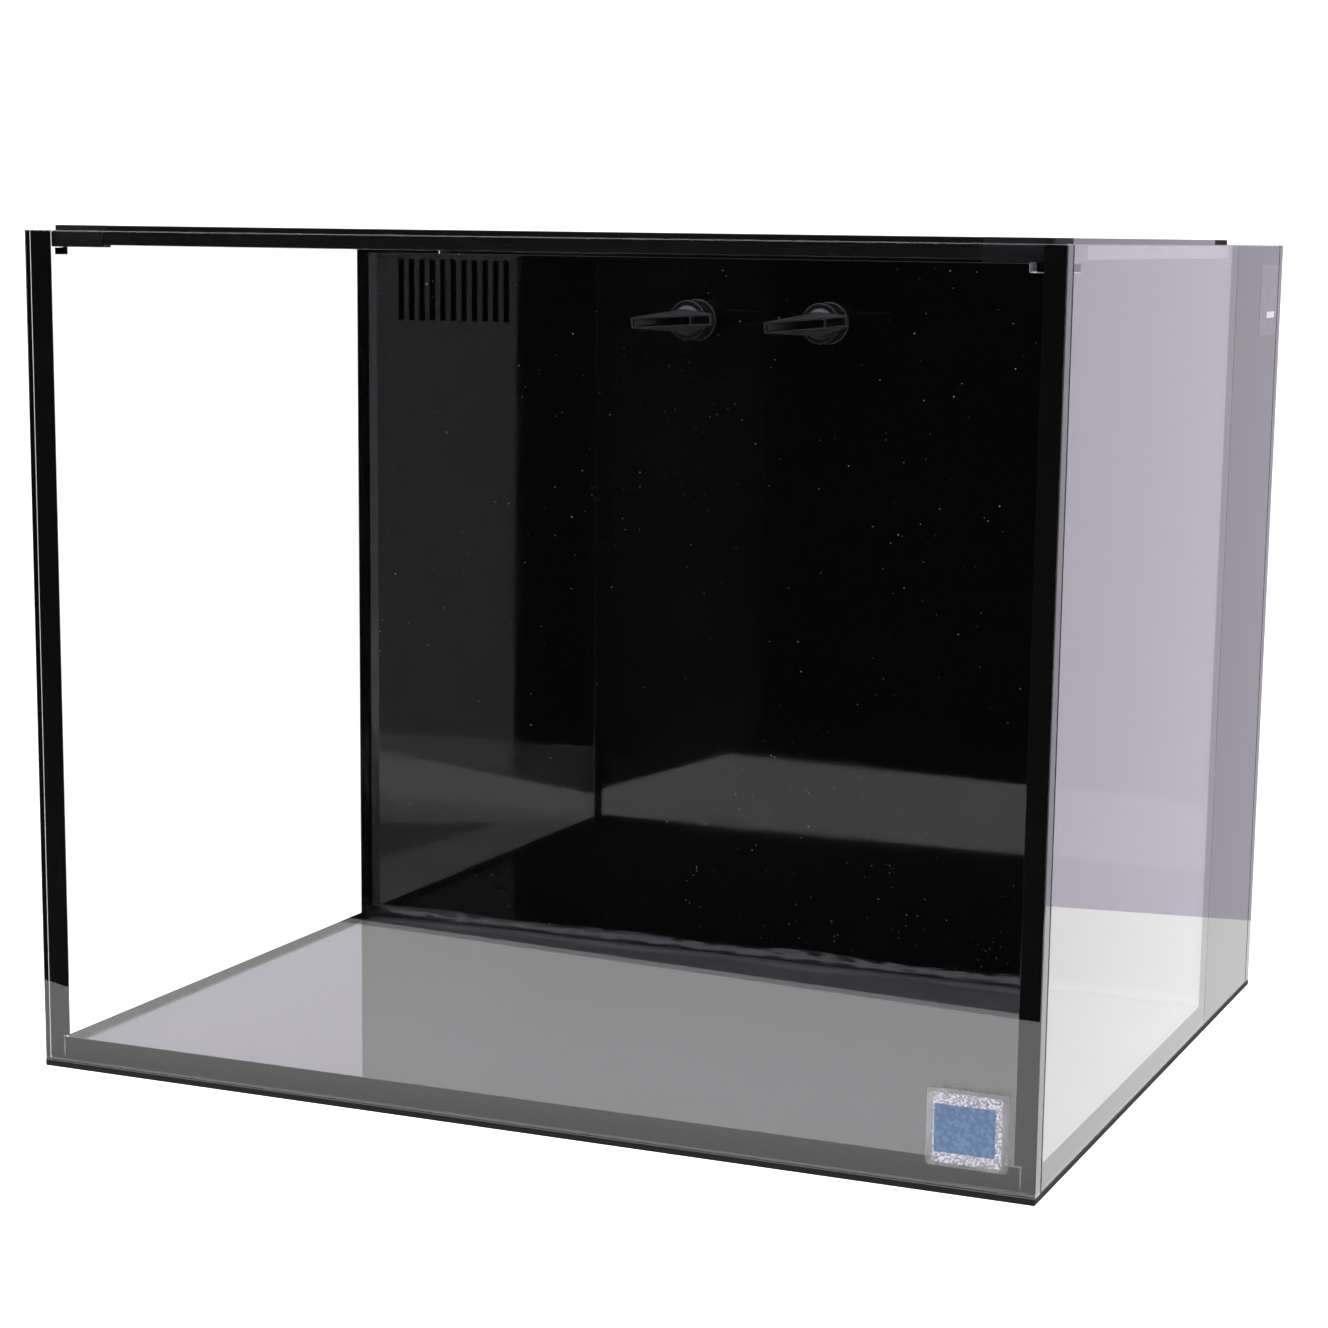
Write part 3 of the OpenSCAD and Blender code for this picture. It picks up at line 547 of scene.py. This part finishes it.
def weaveNet(setup):
    low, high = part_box("lid_net")
    counts = [round((high[i] - low[i]) / (setup["mesh"] * mm)) for i in (0, 1)]
    steps = [(high[i] - low[i]) / counts[i] for i in (0, 1)]
    radius, weave = setup["thread"] / 2 * mm, setup["weave"] * mm
    middle = (low.z + high.z) / 2
    points, faces = [], []
    for along in (0, 1):
        across = 1 - along
        for thread in range(1, counts[across]):
            faces += tubeFaces(counts[along] + 1, 4, start=len(points))
            for knot in range(counts[along] + 1):
                spot = [0, 0, middle + weave * (-1) ** (thread + knot + along)]
                spot[along] = low[along] + knot * steps[along]
                spot[across] = low[across] + thread * steps[across]
                for side, up in ((radius, 0), (0, radius), (-radius, 0), (0, -radius)):
                    point = list(spot)
                    point[across] += side
                    point[2] += up
                    points.append(point)
    return fromLists("lid_netting", points, faces, finishes["net"], "lid", ["lid_net"], 80)


net = weaveNet(netting)
net.visible_shadow = False
print("net woven")


# Hand-laid silicone bead along the foot of the rear wall

wallBead = {"leg": 6.0, "wander": 2.4, "lumps": 0.7, "step": 2.0, "facets": 8}


def layBead(setup):
    low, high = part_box("rear_wall_bead")
    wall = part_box("rear_wall")[0]
    bond = wall.z - low.z
    rows, facets = round((high.x - low.x) / (setup["step"] * mm)), setup["facets"]
    points = []

    def leg(x, slow, fast):  # length of one leg at x, with a slow and a fast wander of scale and shift
        drift, lump = (noise.noise(Vector((x * scale, shift, 0))) for scale, shift in (slow, fast))
        return (setup["leg"] + setup["wander"] * drift + setup["lumps"] * lump) * mm

    for row in range(rows + 1):
        x = low.x + (high.x - low.x) * row / rows
        up = leg(x, (14, 0), (60, 9))
        out = leg(x, (17, 5), (75, 3))
        for i in range(facets + 1):  # from the wall, round to the floor
            t = i / facets
            swell = setup["lumps"] * mm * noise.noise(Vector((x * 90, t * 3, 2)))
            y = wall.y - out * (t * t * 0.6 + t * 0.4) - swell * math.sin(math.pi * t)
            z = low.z + up * ((1 - t) ** 2 * 0.6 + (1 - t) * 0.4) + swell * math.sin(math.pi * t)
            points.append((x, y, z))
        points += [(x, high.y, low.z), (x, high.y, low.z + bond), (x, wall.y + 0.1 * mm, low.z + bond)]
    faces = tubeFaces(rows + 1, facets + 4)
    node = "rear_wall_bead"
    fromLists("wall_foot_bead", points, faces, finishes["silicone"], "tank", [node], 60)


layBead(wallBead)
print("silicone bead laid")


# Felt sock, sewn up one side and round its foot

sock = {
    "wall": 1.8,
    "around": 72,
    "rows": 60,
    "slack": 1.6,
    "folds": 0.9,
    "stitch": 3.2,
    "thread": 0.35,  # radius
    "seamWidth": 0.06,  # radians to each side of the upright seam
    "footSeam": 0.925,  # share of the height down from the mouth
    "footStitches": 66,
}


def sewSock(setup):
    low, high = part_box("filter_sock")
    middle = (low + high) / 2
    radius, height = (high.x - low.x) / 2, high.z - low.z
    around, rows = setup["around"], setup["rows"]

    def out(turn, t):  # radius of the bag, t from its mouth to its foot
        fold = noise.noise(Vector((2.2 * math.cos(turn), 2.2 * math.sin(turn), t * 2.6)))
        wrinkle = noise.noise(Vector((6 * math.cos(turn), 6 * math.sin(turn), t * 14)))
        hang = math.sin(math.pi * min(1, t * 1.15)) ** 0.8
        pulled = setup["slack"] * hang + setup["folds"] * hang * (fold + 0.4 * wrinkle)
        foot = max(0, (t - 0.93) / 0.07)
        return radius - 0.4 * mm - abs(pulled) * mm - radius * 0.12 * foot * foot

    def ring(t, inset, z):
        turns = [2 * math.pi * j / around for j in range(around)]
        return [
            (middle.x + (out(a, t) - inset) * math.cos(a), middle.y + (out(a, t) - inset) * math.sin(a), z)
            for a in turns
        ]

    def drawnIn(spots, share):  # a ring pulled towards the sock's middle
        mid = middle.xy
        return [(mid.x + (x - mid.x) * share, mid.y + (y - mid.y) * share, z) for x, y, z in spots]

    points = []
    wall = setup["wall"] * mm
    for row in range(rows + 1):  # outside, mouth to foot
        t = row / rows
        points += ring(t, 0, high.z - 0.3 * mm - t * (height - 1.2 * mm))
    for share in (0.8, 0.6, 0.4, 0.2, 0.04):  # foot
        sag = 0.9 * mm * (1 - share)
        points += drawnIn(ring(1, 0, low.z + 0.9 * mm - sag), share)
    for share in (0.04, 0.5, 0.9):  # inside of the foot, then back up to the mouth
        points += drawnIn(ring(1, wall, low.z + 0.9 * mm + wall), share)
    for row in range(rows, -1, -1):
        t = row / rows
        points += ring(t, wall, high.z - 0.3 * mm - t * (height - 3.2 * mm - wall))
    count = len(points) // around
    faces = tubeFaces(count, around, closed=False)
    last = (count - 1) * around
    faces += [(last + j, last + (j + 1) % around, (j + 1) % around, j) for j in range(around)]
    bag = fromLists("felt_sock", points, faces, finishes["felt"], "sock", ["filter_sock"], 60)

    seams = bmesh.new()  # thread of both seams

    def stitch(t, a, b, z, drop):  # thread from turn a to turn b on the bag's outside
        radius = out(a, t) + 0.15 * mm
        start = Vector((middle.x + radius * math.cos(a), middle.y + radius * math.sin(a), z))
        end = Vector((middle.x + radius * math.cos(b), middle.y + radius * math.sin(b), z - drop))
        way, thick = end - start, setup["thread"] * mm
        turned = way.to_track_quat("X", "Z").to_matrix().to_4x4()
        sized = Matrix.Diagonal((way.length / 2, thick, thick, 1))
        shaped = Matrix.Translation((start + end) / 2) @ turned @ sized
        bmesh.ops.create_icosphere(seams, subdivisions=1, radius=1, matrix=shaped)

    step = setup["stitch"] * mm
    for i in range(int((height - 16 * mm) / step)):
        z = high.z - 8 * mm - i * step
        for turn in (setup["seamWidth"], -setup["seamWidth"]):
            stitch((high.z - z) / height, -math.pi / 2 + turn, -math.pi / 2 + turn * 0.2, z, step * 0.7)
    count, foot = setup["footStitches"], setup["footSeam"]
    for i in range(count):
        turns = (2 * math.pi * i / count, 2 * math.pi * (i + 0.62) / count)
        stitch(foot, *turns, low.z + (1 - foot) * height, 0)
    thread = fromShape("sock_stitches", seams, finishes["white_plastic"], "sock", (), 80)


sewSock(sock)
print("sock sewn")


# Filter foam, cut from a block

foamBlock = {"grid": 4.0, "rough": 0.5, "corner": 2.0, "fill": 1.0}


def cutFoam(setup):
    low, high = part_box("foam_block")
    size = high - low
    shape = bmesh.new()
    placed = Matrix.Translation((low + high) / 2) @ Matrix.Diagonal((*size, 1))
    bmesh.ops.create_cube(shape, size=1, matrix=placed)
    corner = setup["corner"] * mm
    bmesh.ops.bevel(shape, geom=list(shape.edges), offset=corner, segments=2, affect="EDGES", profile=0.5)
    for axis in range(3):
        cuts = int(size[axis] / (setup["grid"] * mm))
        for cut in range(1, cuts):
            spot = low.copy()
            spot[axis] += size[axis] * cut / cuts
            facing = Vector((axis == 0, axis == 1, axis == 2))
            parts = shape.verts[:] + shape.edges[:] + shape.faces[:]
            bmesh.ops.bisect_plane(shape, geom=parts, plane_co=spot, plane_no=facing)
    shape.normal_update()
    for vertex in shape.verts:
        push = noise.noise(vertex.co * 240) * 0.5 - 0.5
        vertex.co += vertex.normal * push * setup["rough"] * mm
    block = fromShape("cut_foam", shape, finishes["foam"], "caddy", ["foam_block"], 70)


cutFoam(foamBlock)
print("foam cut")


# Ceramic rings, poured loosely into the caddy

mediaRings = {"length": 11.0, "outer": 6.0, "hole": 2.4, "pitch": 13.4, "sides": 12, "seed": 11}


def pourRings(setup):
    low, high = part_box("ceramic_media")
    pick = random.Random(setup["seed"])
    counts = [max(1, int((high[i] - low[i]) / (setup["pitch"] * mm))) for i in range(3)]
    gaps = [(high[i] - low[i]) / counts[i] for i in range(3)]
    half, sides = setup["length"] / 2 * mm, setup["sides"]
    points, faces = [], []
    for cell in range(counts[0] * counts[1] * counts[2]):
        place = (cell % counts[0], cell // counts[0] % counts[1], cell // (counts[0] * counts[1]))
        centre = Vector(low[i] + (place[i] + 0.5) * gaps[i] for i in range(3))
        heading = Matrix.Rotation(pick.uniform(0, 6.28), 3, "Z")
        turned = heading @ Matrix.Rotation(pick.uniform(0, 3.14), 3, "X")
        start = len(points)
        profile = ((0.0, -1), (0.92, -1), (1.0, -0.86), (1.0, 0.86), (0.92, 1), (0.0, 1))
        for share, along in profile:
            radius = (setup["hole"] + (setup["outer"] - setup["hole"]) * share) * mm
            for j in range(sides):
                a = 2 * math.pi * j / sides
                spot = centre + turned @ Vector((radius * math.cos(a), radius * math.sin(a), along * half))
                points.append([min(max(spot[i], low[i]), high[i]) for i in range(3)])
        faces += tubeFaces(len(profile), sides, closed=False, start=start)
        last = start + (len(profile) - 1) * sides
        for j in range(sides):  # the bore
            after = (j + 1) % sides
            faces.append((last + j, last + after, start + after, start + j))
    fromLists("ceramic_rings", points, faces, finishes["ceramic"], "caddy", ["ceramic_media"], 50)


pourRings(mediaRings)
print("rings poured")


# Labels with nothing printed on them but plain fields, and the films on the side panes

stickerParts = {"corner": 2.5, "frame": (0.08, 0.05, 0.92, 0.95), "panel": (0.1, 0.18, 0.84, 0.8)}
ratingLabel = {"corner": 1.5, "mark": (0.42, 0.24, 0.86, 0.33)}
film = {"thick": 0.06, "corner": 1.0}
cornerFacets = 5


def card(name, low, high, facing, corner, finish, slot, nodes=()):  # thin sheet with rounded corners
    wide, deep = (0, 1) if facing == 1 else (1, 0)
    points = []
    radius = corner * mm
    left, right = low[wide], high[wide]
    corners = [(right, high.z, 0), (left, high.z, 90), (left, low.z, 180), (right, low.z, 270)]
    for depth in (low[deep], high[deep]):
        for u, v, start in corners:
            inU = u - radius * (1 if u == right else -1)
            inV = v - radius * (1 if v == high.z else -1)
            for step in range(cornerFacets + 1):
                a = math.radians(start + 90 * step / cornerFacets)
                point = [0, 0, inV + radius * math.sin(a)]
                point[wide], point[deep] = inU + radius * math.cos(a), depth
                points.append(point)
    faces = tubeFaces(2, 4 * (cornerFacets + 1))
    piece = fromLists(name, points, faces, finish, "tank", nodes, 40)
    shape = bmesh.new()
    shape.from_mesh(piece.data)
    bmesh.ops.recalc_face_normals(shape, faces=shape.faces)
    shape.to_mesh(piece.data)
    shape.free()
    return piece


def within(low, high, wide, field):  # a field of a label, given in shares of its width and height
    size = high - low
    first, last = low.copy(), high.copy()
    first[wide], last[wide] = low[wide] + size[wide] * field[0], low[wide] + size[wide] * field[2]
    first.z, last.z = low.z + size.z * field[1], low.z + size.z * field[3]
    return first, last


def raised(low, high, deep, outward, level):  # a field that lies on another, a hair further out
    face = low[deep] if outward < 0 else high[deep]
    faces = (face + outward * depth * hair * mm for depth in (level, level - 1))
    low[deep], high[deep] = sorted(faces)
    return low, high


def stickLabels():
    low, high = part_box("front_label")
    corner = stickerParts["corner"]
    pieces = [card("front_sticker", low, high, 1, corner, stickerFilm, "label_stock", ["front_label"])]
    for level, part, finish in ((1, "frame", stickerFrame), (2, "panel", stickerBlue)):
        field = raised(*within(low, high, 0, stickerParts[part]), 1, -1, level)
        pieces.append(card("sticker_" + part, *field, 1, 0.8, finish, "label_stock"))
    low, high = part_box("side_label")
    low.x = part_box("side_film_right")[0].x + film["thick"] * mm
    high.x = low.x + film["thick"] * mm
    corner = ratingLabel["corner"]
    pieces.append(card("side_sticker", low, high, 0, corner, greySticker, "label_stock", ["side_label"]))
    field = raised(*within(low, high, 1, ratingLabel["mark"]), 0, 1, 1)
    pieces.append(card("side_sticker_field", *field, 0, 0.5, finishes["white_plastic"], "label_stock"))
    for piece in pieces:
        piece.visible_shadow = False


def stickFilm(side, inner):  # the film lies against the pane, so only its thickness differs from the node's
    node = "side_film_" + side
    low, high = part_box(node)
    if inner > 0:
        high.x = low.x + film["thick"] * mm
    else:
        low.x = high.x - film["thick"] * mm
    card(node + "_made", low, high, 0, film["corner"], finishes["black_film"], "black_film", [node])


stickLabels()
stickFilm("left", -1)
stickFilm("right", 1)
print("labels and films stuck on")
